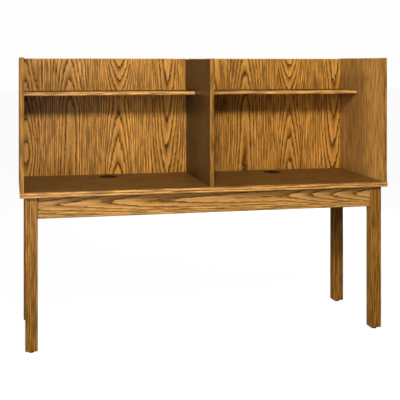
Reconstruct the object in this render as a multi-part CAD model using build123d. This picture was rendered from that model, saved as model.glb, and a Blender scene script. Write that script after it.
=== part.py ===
from build123d import *
from math import sqrt
import os

# Two-seat library study carrel in oak: a table base with four legs, a worktop, two end panels,
# a centre divider, a back panel and a shelf in each bay.
# Frame: +Z up, +X to a sitter's right, -Y is the front. The origin is on the floor, under the centre.

# Overall sizes, in millimetres
overall_width = 1822.0
overall_depth = 617.0
overall_height = 1377.0
worktop_height = 751.0

# Worktop
worktop_thickness = 26.0
worktop_band = 6.0
worktop_ease = 2.5

# End panels, divider and back panels
panel_thickness = 19.0
panel_band = 3.0
panel_ease = 1.0
panel_setback = 9.5
divider_drop = 4.5
back_drop = 2.0

# Shelves
shelf_depth = 242.0
shelf_thickness = 19.0
shelf_band = 6.0
shelf_ease = 3.0
shelf_drop = 173.0
shelf_end_gap = 1.5
shelf_back_gap = 1.0

# Shelf pins
pin_radius = 2.5
pin_web = 1.5
pin_margin = 40.0
pin_width = 12.0
pin_reach = 12.0
pin_plate = 2.0
pin_wall_plate = 1.2
pin_plate_height = 10.0

# Legs and aprons
leg_size = 57.0
leg_ease = 3.0
leg_end_chamfer = 1.0
leg_side_inset = 25.0
leg_front_inset = 24.0
leg_rear_inset = 26.0
leg_corner_flat = 10.0
apron_height = 102.0
apron_thickness = 22.0
apron_setback = 12.5
apron_ease = 2.0
rail_height = 76.0

# Steel corner braces and the bolts that pull each leg into its corner
brace_thickness = 2.5
brace_height = 76.0
brace_stand_off = 6.0
brace_flange = 28.0
brace_screw_pitch = 48.0
bolt_radius = 4.0
bolt_pitch = 40.0
bolt_grip = 42.0
bolt_tail = 17.0
washer_radius = 9.0
washer_thickness = 1.6
nut_across_flats = 13.0
nut_height = 6.5

# Steel angle brackets
bracket_leg = 30.0
bracket_width = 20.0
bracket_thickness = 2.0
bracket_hole_reach = 20.0
bracket_end_margin = 230.0

# Pan-head wood screws
screw_radius = 2.0
screw_length = 16.0
screw_head_radius = 4.0
screw_head_height = 2.4
screw_head_ease = 1.2
recess_width = 0.9
recess_depth = 1.2

# Screws and dowels between the worktop and what stands on it
fixing_spare = 1.1
fixing_margin = 70.0
panel_screw_radius = 3.0
panel_screw_head_radius = 4.4
panel_screw_head_height = 3.0
panel_screw_grip = 40.0
dowel_radius = 4.0
dowel_length = 36.0
dowel_end_play = 1.0
dowel_chamfer = 0.65

# Cam fittings between the back panels and the uprights
cam_radius = 7.4
cam_floor = 6.4
cam_reach = 24.0
cam_low = 110.0
cam_high = 90.0
cam_bolt_radius = 2.9
cam_bolt_web = 1.0
cam_bolt_shank_radius = 2.6
cam_bolt_head_radius = 3.4
cam_bolt_head_length = 3.0
cam_bore_radius = 4.0

# Levelling glides
glide_gap = 10.0
glide_base_radius = 14.0
glide_base_height = 9.0
glide_base_ease = 1.5
glide_stud_radius = 4.0
glide_stud_length = 44.0
glide_socket = 2.6
glide_stud_chamfer = 0.8
insert_radius = 6.0
insert_length = 20.0
insert_flange_radius = 9.0
insert_flange_thickness = 1.6
insert_well_radius = 5.0
insert_well_spare = 6.0

# Cable grommets
grommet_hole_radius = 40.0
grommet_from_back = 106.0
grommet_lip = 5.0
grommet_flange_height = 2.0
grommet_flange_ease = 1.4
grommet_wall = 2.2
grommet_length = 20.0
ledge_width = 2.2
ledge_height = 1.8
cap_thickness = 3.0
cap_ease = 0.6
slot_width = 22.0
slot_from_pivot = 13.3
pivot_radius = 4.0
shutter_thickness = 2.0
turn_radius = 7.0
turn_base_height = 1.2
turn_bar_width = 3.0
turn_bar_height = 2.4
turn_bar_ease = 0.75

# Clearances
fixed_clearance = 0.05
thread_clearance = 0.05
liner_clearance = 0.15
cap_clearance = 0.35
shutter_clearance = 3.45
pivot_clearance = 0.06
turn_clearance = 0.15

# How near two positions are when they count as the same
same_place = 0.01

# Positions that follow from the sizes above
half_width = overall_width / 2
half_depth = overall_depth / 2
worktop_under = worktop_height - worktop_thickness
panel_front = -half_depth + panel_setback
back_face = half_depth - panel_thickness
divider_top = overall_height - divider_drop
back_top = overall_height - back_drop
shelf_top = overall_height - shelf_drop
shelf_bottom = shelf_top - shelf_thickness
shelf_rear = back_face - shelf_back_gap
shelf_front = shelf_rear - shelf_depth
apron_bottom = worktop_under - apron_height
brace_middle = worktop_under - apron_height / 2
leg_inner_x = half_width - leg_side_inset - leg_size
leg_inner_y = {-1: -half_depth + leg_front_inset + leg_size, 1: half_depth - leg_rear_inset - leg_size}
apron_inner_step = leg_size - apron_setback - apron_thickness
apron_inner_x = leg_inner_x + apron_inner_step
apron_inner_y = {-1: leg_inner_y[-1] - apron_inner_step, 1: leg_inner_y[1] + apron_inner_step}
pin_depth = panel_thickness / 2 - pin_web
fixing_inset = worktop_band + panel_screw_head_radius + fixing_spare
cam_depth = panel_thickness - cam_floor
cam_bolt_depth = panel_thickness / 2 - cam_bolt_web
grommet_flange_radius = grommet_hole_radius + grommet_lip
liner_outer = grommet_hole_radius - liner_clearance
liner_inner = liner_outer - grommet_wall
ledge_inner = liner_inner - ledge_width
cap_radius = liner_inner - cap_clearance
shutter_radius = ledge_inner - shutter_clearance
slot_centre_y = slot_from_pivot + slot_width / 2
flange_top = worktop_height + grommet_flange_height
cap_bottom = flange_top - cap_thickness

sides = {"left": -1, "right": 1}
ends = {"front": -1, "rear": 1}
bays = {"left": (-half_width + panel_thickness, -panel_thickness / 2),
        "right": (panel_thickness / 2, half_width - panel_thickness)}
grommet_y = back_face - grommet_from_back


def block(x, y, z):
    """A box between the low and high values given for each axis."""
    low = (x[0], y[0], z[0])
    size = (x[1] - x[0], y[1] - y[0], z[1] - z[0])
    return Pos(*low) * Box(*size, align=(Align.MIN, Align.MIN, Align.MIN))


def ordered(a, b):
    """Two values with the lower first."""
    return (min(a, b), max(a, b))


def rod(start, direction, length, radius):
    """A round bar from a point along a direction."""
    return Plane(origin=start, z_dir=direction) * Cylinder(
        radius, length, align=(Align.CENTER, Align.CENTER, Align.MIN))


def spread(low, high, count):
    """Evenly spaced values from low to high."""
    return [low + (high - low) * step / (count - 1) for step in range(count)]


def without(solid, cutters):
    """A solid less every cutter."""
    for cutter in cutters:
        solid -= cutter
    return solid


def part_of(blank, x, y, z):
    """The piece of a blank inside a box."""
    return (blank & block(x, y, z)).solid()


def edges_on(solid, axis, values):
    """The edges that lie wholly at one of some positions along an axis."""
    found = ShapeList()
    for value in values:
        found += solid.edges().filter_by_position(axis, value - same_place, value + same_place)
    return found


# Worktop -----------------------------------------------------------------------------------------

def worktop_blank():
    """The whole banded worktop, with eased edges."""
    slab = block((-half_width, half_width), (-half_depth, half_depth), (worktop_under, worktop_height))
    corners = slab.edges().filter_by(Axis.Z)
    slab = fillet(corners, worktop_ease)
    rims = edges_on(slab, Axis.Z, (worktop_under, worktop_height))
    return fillet(rims, worktop_ease)


def grommet_centres():
    """The centre of each bay's cable hole."""
    return {side: ((low + high) / 2, grommet_y) for side, (low, high) in bays.items()}


def worktop_pieces():
    """The core and its four solid edge bands."""
    blank = worktop_blank()
    core_x = (-half_width + worktop_band, half_width - worktop_band)
    core_y = (-half_depth + worktop_band, half_depth - worktop_band)
    full_x = (-half_width, half_width)
    z = (worktop_under, worktop_height)
    core = part_of(blank, core_x, core_y, z)
    for x, y in grommet_centres().values():
        core -= rod((x, y, worktop_under), (0, 0, 1), worktop_thickness, grommet_hole_radius)
    core = without(core, panel_fixing_holes() + screw_pilots())
    return {
        "worktop": core,
        "worktop_front_band": part_of(blank, full_x, (-half_depth, core_y[0]), z),
        "worktop_rear_band": part_of(blank, full_x, (core_y[1], half_depth), z),
        "worktop_left_band": part_of(blank, (-half_width, core_x[0]), core_y, z),
        "worktop_right_band": part_of(blank, (core_x[1], half_width), core_y, z),
    }


# Uprights and back panels ------------------------------------------------------------------------

def upright_pieces(name, x, top):
    """An end panel or the divider: a core with front, top and rear bands."""
    y = (panel_front, half_depth)
    z = (worktop_height, top)
    blank = block(x, y, z)
    verticals = blank.edges().filter_by(Axis.Z)
    blank = fillet(verticals, panel_ease)
    blank = fillet(edges_on(blank, Axis.Z, (top,)), panel_ease)
    core_y = (y[0] + panel_band, y[1] - panel_band)
    core_top = top - panel_band
    core = part_of(blank, x, core_y, (z[0], core_top))
    core = without(core, panel_fixing_holes() + cam_bolt_holes() + pin_holes())
    return {
        name: core,
        name + "_front_band": part_of(blank, x, (y[0], core_y[0]), z),
        name + "_rear_band": part_of(blank, x, (core_y[1], y[1]), z),
        name + "_top_band": part_of(blank, x, core_y, (core_top, top)),
    }


def back_panel_pieces(side):
    """A bay's back panel, with its top band."""
    x = bays[side]
    y = (back_face, half_depth)
    blank = block(x, y, (worktop_height, back_top))
    top_edges = edges_on(blank, Axis.Z, (back_top,)).filter_by(Axis.X)
    blank = fillet(top_edges, panel_ease)
    core_top = back_top - panel_band
    core = part_of(blank, x, y, (worktop_height, core_top))
    core = without(core, panel_fixing_holes() + cam_holes())
    return {
        side + "_back_panel": core,
        side + "_back_panel_top_band": part_of(blank, x, y, (core_top, back_top)),
    }


# Shelves -----------------------------------------------------------------------------------------

def shelf_pieces(side):
    """A bay's shelf, with its solid front band."""
    x = (bays[side][0] + shelf_end_gap, bays[side][1] - shelf_end_gap)
    z = (shelf_bottom, shelf_top)
    blank = block(x, (shelf_front, shelf_rear), z)
    nose = edges_on(blank, Axis.Y, (shelf_front,)).filter_by(Axis.X)
    blank = fillet(nose, shelf_ease)
    band_rear = shelf_front + shelf_band
    return {
        side + "_shelf": part_of(blank, x, (band_rear, shelf_rear), z),
        side + "_shelf_front_band": part_of(blank, x, (shelf_front, band_rear), z),
    }


def pin_places():
    """Each shelf pin: the point where it enters the panel, and the way that it sticks out."""
    y_values = (shelf_front + pin_margin, shelf_rear - pin_margin)
    places = []
    for low, high in bays.values():
        for y in y_values:
            places.append((low, y, 1))
            places.append((high, y, -1))
    return places


def pin_axis_z():
    """The height of the shelf pins' axes, under the shelf."""
    return shelf_bottom - pin_plate_height / 2


def shelf_pin(x, y, out):
    """A steel pin with a flat paddle under the shelf."""
    stem = rod((x, y, pin_axis_z()), (-out, 0, 0), pin_depth, pin_radius)
    y_range = (y - pin_width / 2, y + pin_width / 2)
    wall_z = (shelf_bottom - pin_plate_height, shelf_bottom)
    wall = block(ordered(x, x + out * pin_wall_plate), y_range, wall_z)
    paddle = block(ordered(x, x + out * pin_reach), y_range, (shelf_bottom - pin_plate, shelf_bottom))
    return stem + wall + paddle


def pin_holes():
    """The holes that hold the shelf pins."""
    z = pin_axis_z()
    radius = pin_radius + fixed_clearance
    depth = pin_depth + dowel_end_play
    return [rod((x, y, z), (-out, 0, 0), depth, radius) for x, y, out in pin_places()]


# Fixings between the worktop and the panels ------------------------------------------------------

def panel_fixing_places():
    """The plan positions of the screws and of the dowels under every standing panel."""
    screws, dowels = [], []
    y_values = spread(panel_front + fixing_margin, half_depth - fixing_margin, 5)
    for x in (-half_width + fixing_inset, 0, half_width - fixing_inset):
        screws += [(x, y) for y in y_values[::2]]
        dowels += [(x, y) for y in y_values[1::2]]
    for low, high in bays.values():
        x_values = spread(low + fixing_margin, high - fixing_margin, 5)
        screws += [(x, half_depth - fixing_inset) for x in x_values[::2]]
        dowels += [(x, half_depth - fixing_inset) for x in x_values[1::2]]
    return screws, dowels


def panel_screw(x, y):
    """A long screw driven up through the worktop into a panel's lower edge."""
    start = (x, y, worktop_under)
    up = (0, 0, 1)
    head = rod(start, up, panel_screw_head_height, panel_screw_head_radius)
    shank = rod(start, up, worktop_thickness + panel_screw_grip, panel_screw_radius)
    return head + shank - cross_recess(Plane(origin=start, z_dir=(0, 0, -1)))


def dowel(x, y):
    """A beech dowel, half in the worktop and half in a panel."""
    peg = rod((x, y, worktop_height - dowel_length / 2), (0, 0, 1), dowel_length, dowel_radius)
    return chamfer(peg.edges(), dowel_chamfer)


def panel_fixing_holes():
    """The holes for the panel screws and dowels."""
    screws, dowels = panel_fixing_places()
    shank_length = worktop_thickness + panel_screw_grip + dowel_end_play
    shank_radius = panel_screw_radius + fixed_clearance
    head_radius = panel_screw_head_radius + fixed_clearance
    peg_length = dowel_length + 2 * dowel_end_play
    peg_radius = dowel_radius + fixed_clearance
    up = (0, 0, 1)
    holes = [rod((x, y, worktop_under), up, shank_length, shank_radius) for x, y in screws]
    holes += [rod((x, y, worktop_under), up, panel_screw_head_height, head_radius) for x, y in screws]
    holes += [rod((x, y, worktop_height - peg_length / 2), up, peg_length, peg_radius) for x, y in dowels]
    return holes


# Cam fittings ------------------------------------------------------------------------------------

def cam_places():
    """Each cam bolt: where it leaves the upright, and its direction into the back panel."""
    y = half_depth - panel_thickness / 2
    places = []
    for low, high in bays.values():
        for z in (worktop_height + cam_low, back_top - cam_high):
            places.append(((low, y, z), 1))
            places.append(((high, y, z), -1))
    return places


def cam_bolt(start, way):
    """A steel bolt screwed into an upright, with a head that the cam grips."""
    x, y, z = start
    root = rod((x - way * cam_bolt_depth, y, z), (way, 0, 0), cam_bolt_depth, cam_bolt_radius)
    shank = rod(start, (way, 0, 0), cam_reach, cam_bolt_shank_radius)
    head_start = (x + way * (cam_reach - cam_bolt_head_length / 2), y, z)
    head = rod(head_start, (way, 0, 0), cam_bolt_head_length, cam_bolt_head_radius)
    return root + shank + head


def cam_lock(start, way):
    """A cast cam in the rear of a back panel, turned to draw the bolt in."""
    x, y, z = start
    centre = x + way * cam_reach
    body = rod((centre, half_depth - cam_depth, z), (0, 1, 0), cam_depth, cam_radius)
    throat = rod((x, y, z), (way, 0, 0), cam_reach + cam_radius / 2, cam_bore_radius - fixed_clearance)
    return body - throat - cross_recess(Plane(origin=(centre, half_depth, z), z_dir=(0, 1, 0)))


def cam_bolt_holes():
    """The holes in the uprights for the cam bolts."""
    depth = cam_bolt_depth + fixed_clearance
    radius = cam_bolt_radius + fixed_clearance
    return [rod(start, (-way, 0, 0), depth, radius) for start, way in cam_places()]


def cam_holes():
    """The bores in the back panels for the cams and their bolts."""
    holes = []
    for (x, y, z), way in cam_places():
        centre = x + way * cam_reach
        depth = cam_depth + fixed_clearance
        seat = (centre, half_depth - depth, z)
        holes.append(rod(seat, (0, 1, 0), depth, cam_radius + fixed_clearance))
        holes.append(rod((x, y, z), (way, 0, 0), cam_reach + cam_bolt_head_length, cam_bore_radius))
    return holes


# Table base --------------------------------------------------------------------------------------

def leg_centre(side, end):
    """The plan centre of a leg, from its signs along X and Y."""
    return (side * (leg_inner_x + leg_size / 2), leg_inner_y[end] + end * leg_size / 2)


def leg(side, end):
    """A square leg, with a flat on its inner corner for the hanger bolts and a bore for its glide."""
    x, y = leg_centre(side, end)
    half = leg_size / 2
    post = block((x - half, x + half), (y - half, y + half), (glide_gap, worktop_under))
    post = fillet(post.edges().filter_by(Axis.Z), leg_ease)
    post = chamfer(edges_on(post, Axis.Z, (glide_gap,)), leg_end_chamfer)
    inner_x, inner_y = side * leg_inner_x, leg_inner_y[end]
    corner = Polyline(
        (inner_x, inner_y), (inner_x + side * leg_corner_flat, inner_y),
        (inner_x, inner_y + end * leg_corner_flat), close=True)
    wedge = Pos(0, 0, apron_bottom) * extrude(make_face(corner), apron_height)
    return without(post - wedge, bolt_holes(side, end) + insert_holes(x, y))


def bolt_places(side, end):
    """The centres of a leg's two hanger bolts, on the leg's inner corner."""
    x, y = side * leg_inner_x, leg_inner_y[end]
    return [(x, y, brace_middle + step * bolt_pitch / 2) for step in (-1, 1)]


def inward(side, end):
    """The level diagonal from a leg towards the middle of the table."""
    return Vector(-side, -end, 0).normalized()


def hanger_bolt(point, way):
    """A bolt with a wood thread in the leg and a machine thread through the brace."""
    return rod(point - way * bolt_grip, way, bolt_grip + brace_stand_off + bolt_tail, bolt_radius)


def bolt_holes(side, end):
    """The bores in a leg for its hanger bolts."""
    way = inward(side, end)
    radius = bolt_radius + fixed_clearance
    depth = bolt_grip + fixed_clearance
    return [rod(Vector(*point) - way * depth, way, depth, radius) for point in bolt_places(side, end)]


def brace_outer_run():
    """How far a brace's bend is from the leg's inner corner, along each apron."""
    return apron_inner_step + brace_stand_off * sqrt(2)


def corner_brace(side, end):
    """A bent steel plate across a corner, screwed to both aprons and bolted to the leg."""
    run, step, wall = brace_outer_run(), apron_inner_step, brace_thickness
    bend = run + wall * (sqrt(2) - 1)
    tip = run + brace_flange
    outline = [(tip, -step), (run, -step), (-step, run), (-step, tip),
               (wall - step, tip), (wall - step, bend), (bend, wall - step), (tip, wall - step)]
    points = [(side * leg_inner_x - side * u, leg_inner_y[end] - end * v) for u, v in outline]
    plate = extrude(make_face(Polyline(*points, close=True)), brace_height)
    plate = Pos(0, 0, brace_middle - brace_height / 2) * plate
    way = inward(side, end)
    radius = bolt_radius + fixed_clearance
    holes = [rod(point, way, brace_stand_off + 2 * wall, radius) for point in bolt_places(side, end)]
    return without(plate, holes + screw_pilots())


def washer_and_nut_start(point, way):
    """Where a washer sits on the brace's inner face."""
    return Vector(*point) + way * (brace_stand_off + brace_thickness)


def hanger_washer(point, way):
    """A flat washer under a hanger bolt's nut."""
    start = washer_and_nut_start(point, way)
    ring = rod(start, way, washer_thickness, washer_radius)
    return ring - rod(start, way, washer_thickness, bolt_radius + fixed_clearance)


def hanger_nut(point, way):
    """A hexagon nut on a hanger bolt."""
    start = washer_and_nut_start(point, way) + way * washer_thickness
    seat = Plane(origin=start, z_dir=way)
    hexagon = seat * extrude(RegularPolygon(nut_across_flats / 2, 6, major_radius=False), nut_height)
    return hexagon - rod(start, way, nut_height, bolt_radius + fixed_clearance)


def apron(x, y, outer_edges):
    """An apron board, with its lower outer edge eased."""
    board = block(x, y, (apron_bottom, worktop_under))
    lower = edges_on(board, Axis.Z, (apron_bottom,))
    board = fillet(outer_edges(lower), apron_ease)
    return without(board, screw_pilots())


def apron_pieces():
    """The front, rear and side aprons, which butt against the legs."""
    pieces = {}
    between_x = (-leg_inner_x, leg_inner_x)
    for name, end in ends.items():
        y = ordered(apron_inner_y[end], apron_inner_y[end] + end * apron_thickness)
        pieces[name + "_apron"] = apron(between_x, y, lambda edges: edges.filter_by(Axis.X))
    between_y = (leg_inner_y[-1], leg_inner_y[1])
    for name, side in sides.items():
        x = ordered(side * apron_inner_x, side * (apron_inner_x + apron_thickness))
        pieces[name + "_apron"] = apron(x, between_y, lambda edges: edges.filter_by(Axis.Y))
    return pieces


def cross_rail():
    """The rail under the divider, from the front apron to the rear one."""
    x = (-apron_thickness / 2, apron_thickness / 2)
    rail = block(x, (apron_inner_y[-1], apron_inner_y[1]), (worktop_under - rail_height, worktop_under))
    return without(rail, screw_pilots())


# Angle brackets and wood screws ------------------------------------------------------------------

def bracket_seat(corner, along, out):
    """A bracket's frame: one leg runs along a surface with normal out, and the other stands on the apron."""
    return Plane(origin=corner, x_dir=along, z_dir=Vector(*along).cross(Vector(*out)))


def bracket_seats():
    """Every bracket, under the worktop along each apron and beside the cross rail."""
    down = (0, 0, -1)
    inner_run = leg_inner_x - bracket_end_margin
    seats = []
    for end in ends.values():
        y, along = apron_inner_y[end], (0, -end, 0)
        for x in (-inner_run, -inner_run / 2, inner_run / 2, inner_run):
            seats.append(bracket_seat((x, y, worktop_under), along, down))
        rail_middle = worktop_under - rail_height / 2
        for side in sides.values():
            corner = (side * apron_thickness / 2, y, rail_middle)
            seats.append(bracket_seat(corner, along, (side, 0, 0)))
    middle_y = (leg_inner_y[-1] + leg_inner_y[1]) / 2
    for side in sides.values():
        corner = (side * apron_inner_x, middle_y, worktop_under)
        seats.append(bracket_seat(corner, (-side, 0, 0), down))
    return seats


def bracket_screw_seats(seat):
    """The frames of a bracket's two screws, each with its z axis out of the wood."""
    flat = Plane(seat.from_local_coords(Vector(bracket_hole_reach, bracket_thickness, 0)),
                 x_dir=seat.x_dir, z_dir=seat.y_dir)
    upright = Plane(seat.from_local_coords(Vector(bracket_thickness, bracket_hole_reach, 0)),
                    x_dir=seat.y_dir, z_dir=seat.x_dir)
    return [flat, upright]


def angle_bracket(seat):
    """A steel angle with a screw hole in each leg."""
    wall = bracket_thickness
    corner = Polyline(
        (0, 0), (bracket_leg, 0), (bracket_leg, wall), (wall, wall), (wall, bracket_leg), (0, bracket_leg),
        close=True)
    angle = extrude(make_face(corner), bracket_width / 2, both=True)
    return without(seat * angle, [screw_pilot(place) for place in bracket_screw_seats(seat)])


def brace_screw_seats(side, end):
    """The frames of the four screws that hold a corner brace to its aprons."""
    reach = brace_outer_run() + brace_flange / 2
    corner_x, corner_y = side * leg_inner_x, leg_inner_y[end]
    wall = apron_inner_step - brace_thickness
    seats = []
    for step in (-1, 1):
        z = brace_middle + step * brace_screw_pitch / 2
        on_long = (corner_x - side * reach, corner_y + end * wall, z)
        on_side = (corner_x + side * wall, corner_y - end * reach, z)
        seats.append(Plane(origin=on_long, x_dir=(1, 0, 0), z_dir=(0, -end, 0)))
        seats.append(Plane(origin=on_side, x_dir=(0, 1, 0), z_dir=(-side, 0, 0)))
    return seats


def corners():
    """The signs of the four legs, with their names."""
    return {end_name + "_" + side_name: (side, end)
            for end_name, end in ends.items() for side_name, side in sides.items()}


def screw_seats():
    """Every pan-head screw's frame, at the face that its head bears on."""
    seats = [place for seat in bracket_seats() for place in bracket_screw_seats(seat)]
    for side, end in corners().values():
        seats += brace_screw_seats(side, end)
    return seats


def cross_recess(face):
    """The cross that a driver fits, cut into a face along its inward normal."""
    long = screw_head_radius
    bars = [(long, recess_width), (recess_width, long)]
    deep = (Align.CENTER, Align.CENTER, Align.MAX)
    first, second = [face * Box(width, height, recess_depth, align=deep) for width, height in bars]
    return first + second


def wood_screw(seat):
    """A pan-head screw."""
    shank = Cylinder(screw_radius, screw_length, align=(Align.CENTER, Align.CENTER, Align.MAX))
    head = Cylinder(screw_head_radius, screw_head_height, align=(Align.CENTER, Align.CENTER, Align.MIN))
    head = fillet(edges_on(head, Axis.Z, (screw_head_height,)), screw_head_ease)
    top = Plane(origin=(0, 0, screw_head_height))
    return seat * (shank + head - cross_recess(top))


def screw_pilot(seat):
    """The hole that a pan-head screw passes through."""
    deep = (Align.CENTER, Align.CENTER, Align.MAX)
    return seat * Cylinder(screw_radius + fixed_clearance, screw_length + fixed_clearance, align=deep)


PILOTS = []


def screw_pilots():
    """The pilot holes of every pan-head screw."""
    if not PILOTS:
        PILOTS.extend(screw_pilot(seat) for seat in screw_seats())
    return PILOTS


# Levelling glides --------------------------------------------------------------------------------

def insert_holes(x, y):
    """The stepped bore in a leg's foot for the threaded insert and the stud above it."""
    start = (x, y, glide_gap)
    up = (0, 0, 1)
    return [
        rod(start, up, insert_length, insert_radius + fixed_clearance),
        rod(start, up, insert_flange_thickness, insert_flange_radius + fixed_clearance),
        rod(start, up, glide_stud_length + insert_well_spare, insert_well_radius),
    ]


def glide_insert(x, y):
    """A flanged steel insert in a leg's foot, bored for the glide's stud."""
    start = (x, y, glide_gap)
    up = (0, 0, 1)
    sleeve = rod(start, up, insert_length, insert_radius)
    flange = rod(start, up, insert_flange_thickness, insert_flange_radius)
    return sleeve + flange - rod(start, up, insert_length, glide_stud_radius + thread_clearance)


def glide_base(x, y):
    """A round nylon foot with a socket for the stud."""
    foot = rod((x, y, 0), (0, 0, 1), glide_base_height, glide_base_radius)
    foot = fillet(edges_on(foot, Axis.Z, (0, glide_base_height)), glide_base_ease)
    socket_floor = (x, y, glide_base_height - glide_socket)
    return foot - rod(socket_floor, (0, 0, 1), glide_socket, glide_stud_radius + fixed_clearance)


def glide_stud(x, y):
    """The threaded stud of a glide."""
    start = (x, y, glide_base_height - glide_socket)
    stud = rod(start, (0, 0, 1), glide_stud_length, glide_stud_radius)
    return chamfer(stud.edges().sort_by(Axis.Z)[-1], glide_stud_chamfer)


# Cable grommets ----------------------------------------------------------------------------------

def grommet_liner(x, y):
    """A flanged sleeve in the worktop, with a ledge for the cap."""
    up = (0, 0, 1)
    bottom = worktop_height - grommet_length
    sleeve = rod((x, y, bottom), up, grommet_length + grommet_flange_height, liner_outer)
    flange = rod((x, y, worktop_height), up, grommet_flange_height, grommet_flange_radius)
    rim = edges_on(flange, Axis.Z, (flange_top,))
    flange = fillet(rim, grommet_flange_ease)
    ledge_bottom = cap_bottom - ledge_height
    through = rod((x, y, bottom), up, grommet_length + grommet_flange_height, ledge_inner)
    above = rod((x, y, cap_bottom), up, cap_thickness, liner_inner)
    below = rod((x, y, bottom), up, ledge_bottom - bottom, liner_inner)
    return sleeve + flange - through - above - below


def grommet_cap(x, y):
    """A round cap with a cable slot at its rear edge and a hole for the shutter's pivot."""
    disc = rod((x, y, cap_bottom), (0, 0, 1), cap_thickness, cap_radius)
    disc = fillet(edges_on(disc, Axis.Z, (flange_top,)), cap_ease)
    slot_y = y + slot_centre_y
    run_x = (x - slot_width / 2, x + slot_width / 2)
    run = block(run_x, (slot_y, y + cap_radius), (cap_bottom, flange_top))
    end = rod((x, slot_y, cap_bottom), (0, 0, 1), cap_thickness, slot_width / 2)
    pivot = rod((x, y, cap_bottom), (0, 0, 1), cap_thickness, pivot_radius + pivot_clearance)
    return disc - run - end - pivot


def grommet_shutter(x, y):
    """A part disc under the cap that closes the slot, with a thumb turn on top."""
    top = cap_bottom - turn_clearance
    bottom = top - shutter_thickness
    disc = rod((x, y, bottom), (0, 0, 1), shutter_thickness, shutter_radius)
    front_x = (x - shutter_radius, x + shutter_radius)
    front_part = block(front_x, (y - shutter_radius, y - turn_radius), (bottom, top))
    turn_bottom = flange_top + turn_clearance
    pivot = rod((x, y, top), (0, 0, 1), turn_bottom - top, pivot_radius)
    turn_base = rod((x, y, turn_bottom), (0, 0, 1), turn_base_height, turn_radius)
    bar_bottom = turn_bottom + turn_base_height
    bar_half = turn_radius - turn_base_height
    bar = block((x - turn_bar_width / 2, x + turn_bar_width / 2), (y - bar_half, y + bar_half),
                (bar_bottom, bar_bottom + turn_bar_height))
    bar = fillet(edges_on(bar, Axis.Z, (bar_bottom + turn_bar_height,)), turn_bar_ease)
    return disc - front_part + pivot + turn_base + bar


# Assembly ----------------------------------------------------------------------------------------

def group(solids):
    """Separate identical solids as one node."""
    return Compound(children=[solid.solid() for solid in solids])


def hardware_groups():
    """The fasteners, each kind as one node."""
    screws, dowels = panel_fixing_places()
    bolts = [(Vector(*point), inward(side, end))
             for side, end in corners().values() for point in bolt_places(side, end)]
    feet = [leg_centre(side, end) for side, end in corners().values()]
    return {
        "corner_braces": group(corner_brace(side, end) for side, end in corners().values()),
        "hanger_bolts": group(hanger_bolt(point, way) for point, way in bolts),
        "hanger_washers": group(hanger_washer(point, way) for point, way in bolts),
        "hanger_nuts": group(hanger_nut(point, way) for point, way in bolts),
        "angle_brackets": group(angle_bracket(seat) for seat in bracket_seats()),
        "wood_screws": group(wood_screw(seat) for seat in screw_seats()),
        "panel_screws": group(panel_screw(x, y) for x, y in screws),
        "panel_dowels": group(dowel(x, y) for x, y in dowels),
        "cam_bolts": group(cam_bolt(start, way) for start, way in cam_places()),
        "cam_locks": group(cam_lock(start, way) for start, way in cam_places()),
        "shelf_pins": group(shelf_pin(x, y, out) for x, y, out in pin_places()),
        "glide_inserts": group(glide_insert(x, y) for x, y in feet),
    }


def nodes():
    """Every named piece of the carrel."""
    pieces = dict(worktop_pieces())
    pieces |= upright_pieces("left_end_panel", (-half_width, bays["left"][0]), overall_height)
    pieces |= upright_pieces("right_end_panel", (bays["right"][1], half_width), overall_height)
    pieces |= upright_pieces("centre_divider", (bays["left"][1], bays["right"][0]), divider_top)
    for side, (x, y) in grommet_centres().items():
        pieces |= back_panel_pieces(side)
        pieces |= shelf_pieces(side)
        pieces[side + "_grommet_liner"] = grommet_liner(x, y)
        pieces[side + "_grommet_cap"] = grommet_cap(x, y)
        pieces[side + "_grommet_shutter"] = grommet_shutter(x, y)
    for name, (side, end) in corners().items():
        x, y = leg_centre(side, end)
        pieces[name + "_leg"] = leg(side, end)
        pieces[name + "_glide_base"] = glide_base(x, y)
        pieces[name + "_glide_stud"] = glide_stud(x, y)
    pieces |= apron_pieces()
    pieces["cross_rail"] = cross_rail()
    return pieces | hardware_groups()


os.makedirs("parts", exist_ok=True)
for node_name, piece in nodes().items():
    export_step(piece, os.path.join("parts", node_name + ".step"))
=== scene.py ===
import math

import bpy
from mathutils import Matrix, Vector


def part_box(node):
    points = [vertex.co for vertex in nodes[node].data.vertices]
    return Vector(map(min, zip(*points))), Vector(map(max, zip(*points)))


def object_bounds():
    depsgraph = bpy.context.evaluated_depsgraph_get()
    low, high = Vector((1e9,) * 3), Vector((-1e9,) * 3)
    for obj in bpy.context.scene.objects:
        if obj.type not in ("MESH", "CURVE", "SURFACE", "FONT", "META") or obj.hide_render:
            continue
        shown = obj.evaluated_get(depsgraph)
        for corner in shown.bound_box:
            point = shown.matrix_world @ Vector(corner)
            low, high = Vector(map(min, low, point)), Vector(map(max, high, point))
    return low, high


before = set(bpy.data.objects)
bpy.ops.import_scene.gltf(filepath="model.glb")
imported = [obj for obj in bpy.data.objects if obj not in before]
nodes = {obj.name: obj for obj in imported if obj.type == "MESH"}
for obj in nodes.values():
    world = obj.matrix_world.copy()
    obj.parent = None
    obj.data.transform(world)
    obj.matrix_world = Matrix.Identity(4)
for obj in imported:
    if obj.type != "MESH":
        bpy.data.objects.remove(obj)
cad_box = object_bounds()

# Two-seat oak study carrel. Sizes are in metres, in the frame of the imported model:
# +Z up, +X to a sitter's right, -Y the open front. Object coordinates are those of the frame.

# The viewpoint: a level camera, turned a little to the right. Its lens and sensor are in millimetres
camera_place = (-0.949, -4.332, 1.348)
camera_turn = math.radians(-12.43)
camera_lens = 77.02
camera_sensor = 36.0
camera_shift_y = -0.3411

# The studio: how bright the room looks and how much it lights, and the floor's half size, grey and glow
room_seen = 0.985
room_light = 0.02
floor_half = 40.0
floor_grey = 0.10
floor_glow = 0.955

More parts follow.
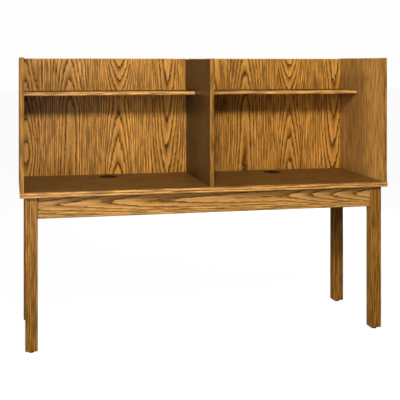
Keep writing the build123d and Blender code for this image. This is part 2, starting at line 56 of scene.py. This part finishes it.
# Oak tones, as the eye sees them: the pore lines, the middle and the smooth late wood
veneer = ("#4a290a", "#9c671d", "#d09343")
lumber = ("#7c4c1c", "#b57d34", "#dda460")
rail = ("#553512", "#a57331", "#d19b56")
pore_tone = "#3a2009"

# Ring spacing near a cathedral's core, how fast rings close up away from it, and how softly it turns
core_width = 0.034
closing = 1.6
turn_softness = 0.02

# Where a cathedral climbs fully and not at all, and how far its lean reaches, as shares of the gap
# between cathedrals. Where its wood is calm and restless, as shares of its core's width
climb_full, climb_none = 0.15, 0.5
lean_reach = 0.6
calm_full, calm_none = 0.6, 1.9

# One ring, from its pore line to its late wood: place and lightness
ring_profile = ((0.0, 0.02), (0.07, 0.04), (0.22, 0.55), (0.50, 0.85), (0.93, 1.0), (1.0, 0.1))

# How rings stray, in rings, and the noise that moves them, in cycles to a metre across and along the grain
ring_wobble = 0.8
wobble_cycles = (9.0, 2.2)
edge_ripple = 0.55
ripple_cycles = (110.0, 24.0)
edge_feather = 0.38
feather_cycles = (420.0, 15.0)

# How the stain varies between its darkest and lightest, and the noise that moves it
line_low, line_high = 0.80, 1.16
line_cycles = (330.0, 3.5)
fleck_low, fleck_high = 0.62, 1.34
fleck_cycles = (140.0, 10.0)
cloud_low, cloud_high = 0.92, 1.08
cloud_cycles = (7.0, 2.0)
pore_cycles = (1150.0, 48.0)
pore_strength = 0.62

# Each kind of noise has a layer of its own, so that none repeats another
wobble_layer = 3.0
ripple_layer = 4.0
feather_layer = 5.0
bend_layer = 11.0
fleck_layer = 17.0
line_layer = 23.0
cloud_layer = 31.0
pore_layer = 41.0

uprights = ("left_end_panel", "right_end_panel", "centre_divider")
sides = ("left", "right")
ends = ("front", "rear")


def linear(text):
    """A display colour such as #a06c2a as linear RGBA."""
    shares = [int(text[i:i + 2], 16) / 255 for i in (1, 3, 5)]
    return [s / 12.92 if s <= 0.04045 else ((s + 0.055) / 1.055) ** 2.4 for s in shares] + [1.0]


# Node graphs --------------------------------------------------------------------------------------

class Graph:
    """One material's nodes. Every value is a socket or a number."""

    def __init__(self, name):
        self.material = bpy.data.materials.new(name)
        self.material.use_nodes = True
        self.tree = self.material.node_tree
        self.tree.nodes.clear()

    def put(self, socket, value):
        if isinstance(value, bpy.types.NodeSocket):
            self.tree.links.new(value, socket)
        else:
            socket.default_value = value

    def add(self, kind, inputs=None, **settings):
        node = self.tree.nodes.new("ShaderNode" + kind)
        for key, value in settings.items():
            setattr(node, key, value)
        for key, value in (inputs or {}).items():
            self.put(node.inputs[key], value)
        return node

    def math(self, operation, *values):
        return self.add("Math", dict(enumerate(values)), operation=operation).outputs[0]

    def plus(self, *values):
        total = values[0]
        for value in values[1:]:
            total = self.math("ADD", total, value)
        return total

    def minus(self, a, b):
        return self.math("SUBTRACT", a, b)

    def times(self, *values):
        total = values[0]
        for value in values[1:]:
            total = self.math("MULTIPLY", total, value)
        return total

    def remap(self, value, low, high, to_low, to_high):
        """A smooth step of a value from one range to another."""
        inputs = {0: value, 1: low, 2: high, 3: to_low, 4: to_high}
        return self.add("MapRange", inputs, interpolation_type="SMOOTHSTEP").outputs[0]

    def blend(self, share, a, b):
        """Colour a where share is 0 and b where it is 1."""
        return self.add("Mix", {0: share, 6: a, 7: b}, data_type="RGBA").outputs[2]

    def shade(self, colour, amount):
        """A colour made lighter or darker by a factor."""
        grey = self.add("CombineColor", {0: amount, 1: amount, 2: amount}).outputs[0]
        inputs = {0: 1.0, 6: colour, 7: grey}
        return self.add("Mix", inputs, data_type="RGBA", blend_type="MULTIPLY").outputs[2]

    def vector(self, x, y, z):
        return self.add("CombineXYZ", {0: x, 1: y, 2: z}).outputs[0]

    def noise(self, vector, scale=1.0, detail=2.0, rough=0.5):
        inputs = {"Vector": vector, "Scale": scale, "Detail": detail, "Roughness": rough}
        return self.add("TexNoise", inputs).outputs[0]

    def ramp(self, value, stops):
        """A colour ramp through (place, colour) stops."""
        node = self.add("ValToRGB", {0: value})
        band = node.color_ramp
        band.interpolation = "EASE"
        band.elements[0].position, band.elements[0].color = stops[0]
        band.elements[1].position, band.elements[1].color = stops[-1]
        for place, colour in stops[1:-1]:
            band.elements.new(place).color = colour
        return node.outputs[0]

    def place(self):
        """The object coordinates as one vector."""
        return self.add("TexCoord").outputs["Object"]

    def bump(self, height, strength, distance):
        inputs = {"Height": height, "Strength": strength, "Distance": distance}
        return self.add("Bump", inputs).outputs[0]

    def finish(self, colour, rough, normal, **fixed):
        """The surface shader. Fixed values go straight onto its own sockets."""
        inputs = {"Base Color": colour, "Roughness": rough, "Normal": normal}
        shader = self.add("BsdfPrincipled", inputs)
        for name, value in fixed.items():
            shader.inputs[name.replace("_", " ")].default_value = value
        self.add("OutputMaterial", {"Surface": shader.outputs[0]})
        return self.material


# Oak ----------------------------------------------------------------------------------------------

class Grain:
    """Places across, along and through a board, from the names of its axes."""

    def __init__(self, graph, across, along, through, seed):
        x_y_z = dict(zip("XYZ", graph.add("SeparateXYZ", {0: graph.place()}).outputs))
        self.graph = graph
        self.across, self.along, self.through = (x_y_z[name] for name in (across, along, through))
        self.seed = seed
        # 1 at a cathedral's core, where the wood is smooth, and 0 away from it
        self.calm = 0.0

    def streaks(self, across_cycles, along_cycles, detail=2.0, layer=0.0):
        """Noise drawn out along the grain, from its cycles to a metre."""
        graph = self.graph
        a = graph.plus(graph.times(self.across, across_cycles), self.seed + layer)
        b = graph.times(self.along, along_cycles)
        c = graph.times(self.through, across_cycles)
        return graph.noise(graph.vector(a, b, c), detail=detail)

    def swing(self, amount, across_cycles, along_cycles, detail=2.0, layer=0.0):
        """Streaks as a signed offset of about plus or minus half an amount."""
        noise = self.streaks(across_cycles, along_cycles, detail, layer)
        return self.graph.times(self.graph.minus(noise, 0.5), amount)


def turning(place, below, above, start=0.0):
    """How a cathedral climbs: rings to a metre below and above a place, and the ring at that place.
    Rings that count up along the grain point up, and those that count down point down."""
    def rise(graph, along):
        step = graph.minus(along, place)
        bend = graph.math("SQRT", graph.plus(graph.times(step, step), turn_softness ** 2))
        slope = graph.times(step, (above + below) / 2)
        return graph.plus(slope, graph.times(bend, (above - below) / 2), start)
    return rise


def plain_sliced(grain, first, gap, rises, width=core_width, lean=0.0):
    """Ring count on a face with a row of cathedrals, a gap apart from the first. The first one leans
    to the second."""
    graph = grain.graph
    across = graph.plus(grain.across, grain.swing(0.030, 3.0, 1.6, layer=bend_layer))
    across = graph.minus(across, graph.remap(across, first, first + gap * lean_reach, lean, 0.0))
    away = graph.math("PINGPONG", graph.minus(across, first), gap / 2)
    rings = graph.math("POWER", graph.times(away, 1 / width), closing)
    for index, rise in enumerate(rises):
        offset = graph.math("ABSOLUTE", graph.minus(across, first + index * gap))
        near = graph.remap(offset, gap * climb_full, gap * climb_none, 1.0, 0.0)
        rings = graph.plus(rings, graph.times(rise(graph, grain.along), near))
    grain.calm = graph.remap(away, width * calm_full, width * calm_none, 1.0, 0.0)
    return rings


def straight(grain, spacing):
    """Ring count on a face with rings a spacing apart."""
    graph = grain.graph
    across = graph.plus(grain.across, grain.swing(0.020, 4.0, 0.9, layer=bend_layer))
    return graph.times(across, 1 / spacing)


def log(grain, centre, spacing):
    """Ring count in a solid piece sawn from a log whose centre is outside it."""
    graph = grain.graph
    across = graph.plus(grain.across, grain.swing(0.010, 6.0, 0.8, layer=bend_layer))
    a = graph.minus(across, centre[0])
    c = graph.minus(grain.through, centre[1])
    distance = graph.math("SQRT", graph.plus(graph.times(a, a), graph.times(c, c)))
    return graph.times(distance, 1 / spacing)


def uneven(grain, rings):
    """A ring count that wobbles and ripples, with feathered edges."""
    wobble = grain.swing(ring_wobble, *wobble_cycles, layer=wobble_layer)
    ripple = grain.swing(edge_ripple, *ripple_cycles, layer=ripple_layer)
    feather = grain.swing(edge_feather, *feather_cycles, detail=3.0, layer=feather_layer)
    return grain.graph.plus(rings, wobble, ripple, feather)


def ring_colour(grain, share, tones, contrast):
    """The stain's colour at a share of the way through a ring."""
    graph = grain.graph
    dark, middle, light = (linear(tone) for tone in tones)
    profile = [(place, (grey, grey, grey, 1)) for place, grey in ring_profile]
    tone = graph.ramp(share, profile)
    colour = graph.ramp(tone, [(0.0, dark), (0.5, middle), (1.0, light)])
    restless = graph.minus(1.0, grain.calm)
    softened = graph.times(1.0 - contrast, graph.plus(graph.times(restless, 0.5), 0.5))
    return graph.blend(softened, colour, middle)


def stained(grain, colour, lines, clouds, tint):
    """A colour with the stain's fine lines, flecks and clouds. The flecks are faint in smooth wood. The
    last factor sets the board's tone and, on some boards, painted shade.
    """
    graph = grain.graph
    colour = graph.shade(colour, graph.remap(lines, 0.30, 0.70, line_low, line_high))
    noise = grain.streaks(*fleck_cycles, layer=fleck_layer)
    flecks = graph.minus(graph.remap(noise, 0.36, 0.62, fleck_low, fleck_high), 1.0)
    restless = graph.minus(1.0, grain.calm)
    faded = graph.times(flecks, graph.plus(graph.times(restless, 0.8), 0.2))
    colour = graph.shade(colour, graph.plus(faded, 1.0))
    # This factor is the board's tone, and painted shade where it is set low.
    return graph.shade(colour, graph.times(graph.remap(clouds, 0.25, 0.75, cloud_low, cloud_high), tint))


def oak_surface(grain, rings, tones, contrast, tint=1.0, gloss=0.36):
    """Stained oak under satin lacquer, from a ring count."""
    graph = grain.graph
    share = graph.math("FRACT", uneven(grain, rings))
    lines = grain.streaks(*line_cycles, detail=3.0, layer=line_layer)
    clouds = grain.streaks(*cloud_cycles, layer=cloud_layer)
    colour = stained(grain, ring_colour(grain, share, tones, contrast), lines, clouds, tint)
    early = graph.remap(share, 0.02, 0.55, 1.0, 0.25)
    noise = grain.streaks(*pore_cycles, detail=1.0, layer=pore_layer)
    pores = graph.times(graph.remap(noise, 0.60, 0.68, 0.0, 1.0), early)
    colour = graph.blend(graph.times(pores, pore_strength), colour, linear(pore_tone))
    satin = graph.remap(clouds, 0.2, 0.8, gloss - 0.03, gloss + 0.05)
    rough = graph.plus(satin, graph.times(pores, 0.2))
    height = graph.minus(graph.times(lines, 0.25), pores)
    normal = graph.bump(height, 0.35, 0.0003)
    return graph.finish(
        colour, rough, normal, Specular_IOR_Level=0.18, Coat_Weight=0.03, Coat_Roughness=0.3)


def back_panel_oak(side):
    """The back panels: the same run of cathedrals in each bay."""
    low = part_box(side + "_back_panel")[0]
    gap = 0.262
    second_from_edge = {"left": 0.249, "right": 0.318}[side]
    base = low.z
    rises = [
        turning(base + 0.124, -9.0, 9.0, 0.5),
        turning(base + 0.357, 1.1, 9.0, -0.50),
        turning(base + 0.404, 7.25, -14.0, 0.53),
        turning(base + 0.254, -7.4, -4.8, 0.18),
        turning(base + 0.300, 4.0, 6.0, 0.3),
    ]
    grain = Grain(Graph(side + "_back_oak"), "X", "Z", "Y", 2.0)
    rings = plain_sliced(grain, low.x + second_from_edge - gap, gap, rises, lean=0.033)
    return oak_surface(grain, rings, veneer, contrast=0.88)


def upright_oak(name, seed, tints):
    """The end panels and the divider: quiet figure with long narrow flames. The tones are those of
    the left and right faces; the divider's left face is far darker than its right, as painted shade."""
    low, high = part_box(name)
    grain = Grain(Graph(name + "_oak"), "Y", "Z", "X", seed)
    middle = (low.x + high.x) / 2
    tint = grain.graph.remap(grain.through, middle - 0.001, middle + 0.001, *tints)
    rises = [turning(1.0, 2.4, 3.5), turning(1.1, -3.0, 1.5, 0.4), turning(0.9, 3.6, -2.0, 0.7)]
    rings = plain_sliced(grain, -0.20, 0.21, rises, width=0.015)
    return oak_surface(grain, rings, rail, contrast=0.40, tint=tint)


def worktop_oak():
    """The worktop: long cathedrals from end to end, darkened all over as painted shade of a top lit at a
    grazing angle.
    """
    grain = Grain(Graph("worktop_oak"), "Y", "X", "Z", 9.0)
    rises = [turning(-0.3, 1.6, 2.2), turning(0.2, -2.0, 1.5), turning(0.4, 2.4, 1.2)]
    rings = plain_sliced(grain, -0.22, 0.25, rises)
    # The low factor of 0.46 darkens the board as painted shade.
    return oak_surface(grain, rings, veneer, contrast=0.62, tint=0.46, gloss=0.5)


def shelf_oak(side, seed):
    """A shelf: straight figure from end to end, darkened as painted shade of a top seen at a grazing angle
    with shade at its rear.
    """
    grain = Grain(Graph(side + "_shelf_oak"), "Y", "X", "Z", seed)
    rings = straight(grain, spacing=0.016)
    # The factor of 0.34 darkens the board as painted shade.
    return oak_surface(grain, rings, veneer, contrast=0.6, tint=0.34, gloss=0.55)


def apron_oak(name, across, along, through, seed):
    """An apron: one long run of cathedrals that point to the left."""
    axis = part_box(name)[1].z - 0.035
    left_run = turning(-0.31, -5.2, -1.25, -0.10)
    right_run = turning(0.40, 0.0, -7.2)

    def rise(graph, place):
        return graph.plus(left_run(graph, place), right_run(graph, place))
    grain = Grain(Graph(name + "_oak"), across, along, through, seed)
    rings = plain_sliced(grain, axis, 0.22, [rise], width=0.026)
    return oak_surface(grain, rings, rail, contrast=0.72, tint=0.90)


def solid_oak(name, across, along, through, seed, spacing, contrast=0.75, tint=1.0, tones=lumber):
    """A sawn solid piece, with its rings all the way through."""
    low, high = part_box(name)
    middle = dict(zip("XYZ", (low + high) / 2))
    grain = Grain(Graph(name + "_oak"), across, along, through, seed)
    rings = log(grain, (middle[across] - 0.11, middle[through] + 0.07), spacing)
    return oak_surface(grain, rings, tones, contrast, tint)


# Other materials ----------------------------------------------------------------------------------

def beech():
    """Pale close-grained dowel wood with short flecks."""
    grain = Grain(Graph("beech"), "X", "Z", "Y", 4.0)
    graph = grain.graph
    fibres = grain.streaks(900.0, 30.0, detail=3.0)
    flecks = graph.remap(grain.streaks(1600.0, 400.0, detail=1.0, layer=7.0), 0.60, 0.70, 0.0, 0.5)
    colour = graph.ramp(fibres, [(0.3, linear("#b98f5f")), (0.7, linear("#d6b185"))])
    colour = graph.blend(flecks, colour, linear("#8a6238"))
    rough = graph.remap(fibres, 0.3, 0.7, 0.55, 0.7)
    return graph.finish(colour, rough, graph.bump(fibres, 0.3, 0.0001))


def metal(name, base, worn, rough, bump_height):
    """Plated or cast metal, with cloudy patches and fine marks."""
    graph = Graph(name)
    place = graph.place()
    clouds = graph.noise(place, scale=45.0, detail=3.0)
    marks = graph.noise(place, scale=900.0)
    colour = graph.ramp(clouds, [(0.3, linear(worn)), (0.65, linear(base))])
    cloudy = graph.remap(clouds, 0.3, 0.7, rough - 0.05, rough + 0.08)
    roughness = graph.plus(cloudy, graph.times(marks, 0.06))
    return graph.finish(colour, roughness, graph.bump(marks, 0.3, bump_height), Metallic=1.0)


def plastic(name, base, worn, rough, spark_scale):
    """Moulded plastic with a fine spark texture."""
    graph = Graph(name)
    place = graph.place()
    spark = graph.noise(place, scale=spark_scale, rough=0.6)
    clouds = graph.noise(place, scale=60.0)
    colour = graph.ramp(clouds, [(0.35, linear(base)), (0.75, linear(worn))])
    roughness = graph.remap(clouds, 0.3, 0.7, rough - 0.04, rough + 0.08)
    return graph.finish(colour, roughness, graph.bump(spark, 0.25, 0.0001), Specular_IOR_Level=0.12)


# Which material each piece has --------------------------------------------------------------------

def paint(name, material):
    """Gives a CAD piece its material."""
    mesh = nodes[name].data
    mesh.materials.clear()
    mesh.materials.append(material)


def paint_solid(name, across, along, through, seed, spacing, **look):
    """Gives a solid piece its own sawn oak. Seeds keep the figures of like pieces apart."""
    paint(name, solid_oak(name, across, along, through, seed, spacing, **look))


def paint_boards():
    for side, shelf_seed, apron_seed in (("left", 14.0, 6.0), ("right", 15.5, 7.0)):
        paint(side + "_back_panel", back_panel_oak(side))
        paint(side + "_shelf", shelf_oak(side, shelf_seed))
        paint(side + "_apron", apron_oak(side + "_apron", "Z", "Y", "X", apron_seed))
    for end, seed in zip(ends, (5.0, 8.0)):
        paint(end + "_apron", apron_oak(end + "_apron", "Z", "X", "Y", seed))
    # Tones of each upright's left and right faces. The divider's left face at 0.13 is painted shade.
    tints = ((0.9, 0.95), (0.93, 0.95), (0.13, 0.8))
    for upright, seed, pair in zip(uprights, (31.0, 33.0, 35.0), tints):
        paint(upright, upright_oak(upright, seed, pair))
    paint("worktop", worktop_oak())
    paint_solid("cross_rail", "Z", "Y", "X", 12.0, 0.006, tones=veneer)


def paint_bands():
    upright_seeds = dict(zip(uprights, (14.0, 15.0, 14.0)))
    for end, seed in zip(ends, (1.0, 2.0)):
        paint_solid("worktop_" + end + "_band", "Z", "X", "Y", seed, 0.010, contrast=0.95, tint=0.84)
        for upright, extra in upright_seeds.items():
            name = upright + "_" + end + "_band"
            paint_solid(name, "X", "Z", "Y", seed + extra, 0.006, contrast=0.6, tint=0.68, tones=veneer)
    for side, seed in zip(sides, (3.0, 4.0)):
        paint_solid("worktop_" + side + "_band", "Z", "Y", "X", seed, 0.0055, contrast=0.85)
        paint_solid(side + "_back_panel_top_band", "Y", "X", "Z", seed, 0.006, contrast=0.5)
        paint_solid(side + "_shelf_front_band", "Z", "X", "Y", seed, 0.009, contrast=1.0, tint=1.1)
    for upright, extra in upright_seeds.items():
        paint_solid(upright + "_top_band", "X", "Y", "Z", 5.0 + extra, 0.006, contrast=0.5)


def paint_legs():
    leg_seeds = {"front_left": 44.0, "front_right": 45.0, "rear_left": 47.0, "rear_right": 48.0}
    for leg, seed in leg_seeds.items():
        paint_solid(leg + "_leg", "X", "Z", "Y", seed, 0.007, contrast=0.5, tint=0.68, tones=veneer)


def paint_hardware():
    zinc = metal("zinc_steel", "#b9bab8", "#8f9190", 0.34, 0.00005)
    cast = metal("cast_zinc", "#9b9c9c", "#747576", 0.48, 0.0002)
    black = plastic("black_plastic", "#050606", "#0d0e10", 0.6, 2200.0)
    nylon = plastic("nylon", "#131416", "#26272a", 0.38, 1500.0)
    steel = ["corner_braces", "hanger_bolts", "hanger_washers", "hanger_nuts", "angle_brackets",
             "wood_screws", "panel_screws", "cam_bolts", "glide_inserts", "shelf_pins"]
    for name in steel:
        paint(name, zinc)
    paint("cam_locks", cast)
    paint("panel_dowels", beech())
    for side in sides:
        for piece in ("liner", "cap", "shutter"):
            paint(side + "_grommet_" + piece, black)
        for end in ends:
            paint(end + "_" + side + "_glide_base", nylon)
            paint(end + "_" + side + "_glide_stud", zinc)


# Studio -------------------------------------------------------------------------------------------

def camera():
    data = bpy.data.cameras.new("camera")
    data.lens = camera_lens
    data.sensor_width = camera_sensor
    data.shift_y = camera_shift_y
    found = bpy.data.objects.new("camera", data)
    found.location = camera_place
    found.rotation_euler = (math.radians(90), 0, camera_turn)
    bpy.context.scene.collection.objects.link(found)
    bpy.context.scene.camera = found


def soft_light(name, place, target, width, height, power):
    """A rectangular softbox of a power in watts that faces a target."""
    data = bpy.data.lights.new(name, "AREA")
    data.shape = "RECTANGLE"
    data.size = width
    data.size_y = height
    data.energy = power
    found = bpy.data.objects.new(name, data)
    found.location = place
    found.rotation_euler = (Vector(target) - Vector(place)).to_track_quat("-Z", "Y").to_euler()
    bpy.context.scene.collection.objects.link(found)


def lights():
    low, high = cad_box
    middle = (low + high) / 2
    right_bay = (1.3, 0.4, 1.6)
    soft_light("key", (-0.65, -3.08, 2.72), right_bay, 0.5, 0.5, 102)
    soft_light("high_fill", (0.45, -3.3, 2.83), middle, 0.55, 0.5, 16)
    soft_light("left_front_fill", (-3.6, -4.4, 1.8), middle, 1.8, 1.4, 64)
    soft_light("left_fill", (-6.0, -1.95, 1.5), middle, 0.8, 1.2, 200)
    soft_light("low_fill", (-1.4, -4.5, 0.35), middle, 1.6, 0.6, 33)
    soft_light("right_fill", (3.6, 0.9, 0.7), middle, 1.6, 1.1, 45)
    soft_light("rear_fill", (1.5, 3.5, 0.7), middle, 1.4, 1.0, 60)


def surroundings():
    """A white room that lights softly and shows white behind the carrel."""
    world = bpy.data.worlds.new("room")
    bpy.context.scene.world = world
    world.use_nodes = True
    tree = world.node_tree
    tree.nodes.clear()
    path = tree.nodes.new("ShaderNodeLightPath")
    strength = tree.nodes.new("ShaderNodeMapRange")
    strength.inputs["To Min"].default_value = room_light
    strength.inputs["To Max"].default_value = room_seen
    background = tree.nodes.new("ShaderNodeBackground")
    background.inputs["Color"].default_value = (1, 1, 1, 1)
    output = tree.nodes.new("ShaderNodeOutputWorld")
    tree.links.new(path.outputs["Is Camera Ray"], strength.inputs["Value"])
    tree.links.new(strength.outputs[0], background.inputs["Strength"])
    tree.links.new(background.outputs[0], output.inputs["Surface"])


def pale_floor():
    """A matt floor that glows to the camera, so that it keeps only a faint shadow."""
    graph = Graph("pale_floor")
    seen = graph.add("LightPath").outputs["Is Camera Ray"]
    matt = graph.add("BsdfDiffuse", {"Color": (floor_grey, floor_grey, floor_grey, 1)})
    glow = graph.add("Emission", {"Color": (1, 1, 1, 1), "Strength": graph.times(seen, floor_glow)})
    both = graph.add("AddShader", {0: matt.outputs[0], 1: glow.outputs[0]})
    graph.add("OutputMaterial", {"Surface": both.outputs[0]})
    return graph.material


def floor():
    half = floor_half
    corners = [(-half, -half, 0), (half, -half, 0), (half, half, 0), (-half, half, 0)]
    mesh = bpy.data.meshes.new("floor")
    mesh.from_pydata(corners, [], [(0, 1, 2, 3)])
    mesh.materials.append(pale_floor())
    found = bpy.data.objects.new("floor", mesh)
    bpy.context.scene.collection.objects.link(found)


camera()
lights()
surroundings()
floor()
paint_boards()
paint_bands()
paint_legs()
paint_hardware()
bpy.context.scene.view_settings.view_transform = "Standard"
